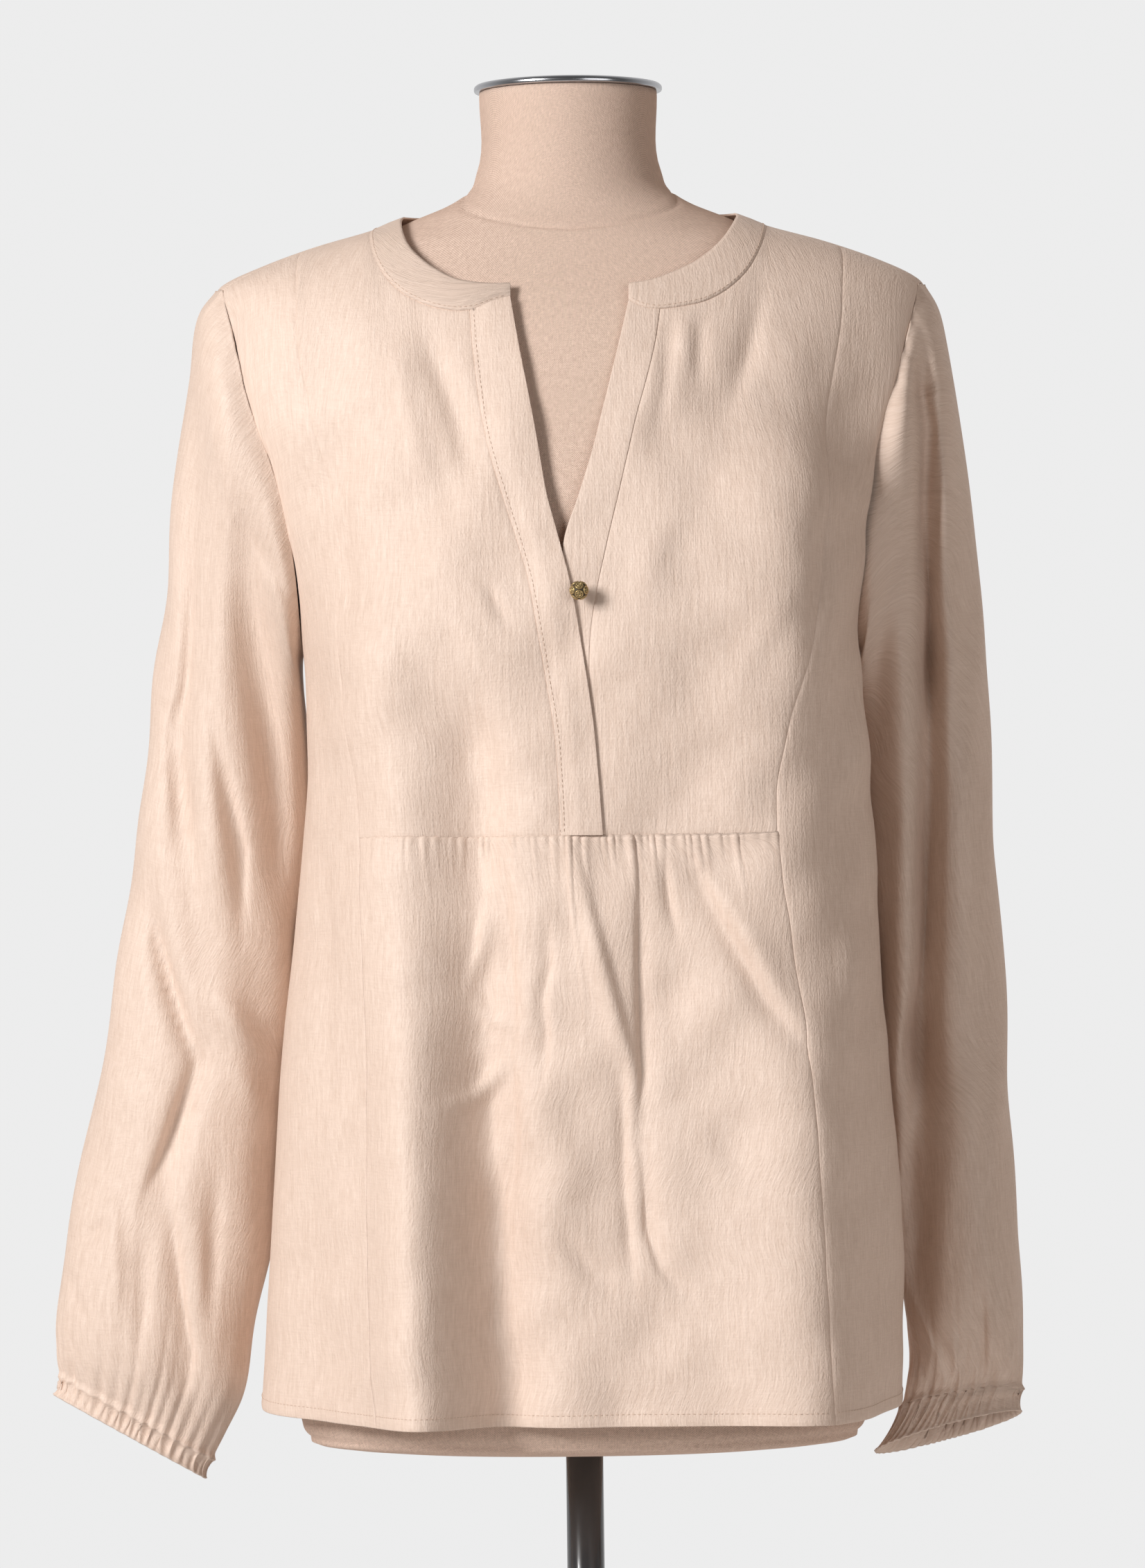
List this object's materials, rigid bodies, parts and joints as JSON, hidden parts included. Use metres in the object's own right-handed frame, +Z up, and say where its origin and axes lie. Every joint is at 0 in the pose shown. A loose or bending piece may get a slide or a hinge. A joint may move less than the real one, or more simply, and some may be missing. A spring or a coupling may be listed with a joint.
{
  "type": "long-sleeve blouse on a limbless dress form with stand",
  "caption": "Loose long-sleeve blouse with a V opening, a gathered lower front and narrow gathered cuffs, worn by a limbless dress form on a round-based stand.",
  "frame": {"origin": "middle of the stand base's flat underside, on the floor", "axes": "+Z up, the garment's front faces -Y, +X to the viewer's right"},
  "size_m": [0.5509, 0.34, 1.5415],
  "materials": {
    "cloth": "soft sheen, slubby drapey weave",
    "canvas": "matt plain-weave cover",
    "cap_steel": "satin",
    "pole_black": "gloss",
    "base_steel": "satin",
    "button_brass": "antique"
  },
  "bodies": {
    "root": {"form_torso": "canvas", "neck_cap": "cap_steel", "stand_pole": "pole_black", "stand_base": "base_steel", "back": "cloth", "front_skirt": "cloth", "side_front_right": "cloth", "side_front_left": "cloth", "front_yoke_right": "cloth", "front_yoke_left": "cloth", "placket_left": "cloth", "placket_right": "cloth", "neckband": "cloth", "sleeve_right": "cloth", "sleeve_left": "cloth", "cuff_right": "cloth", "cuff_left": "cloth", "ball_button": "button_brass"}
  },
  "joints": []
}
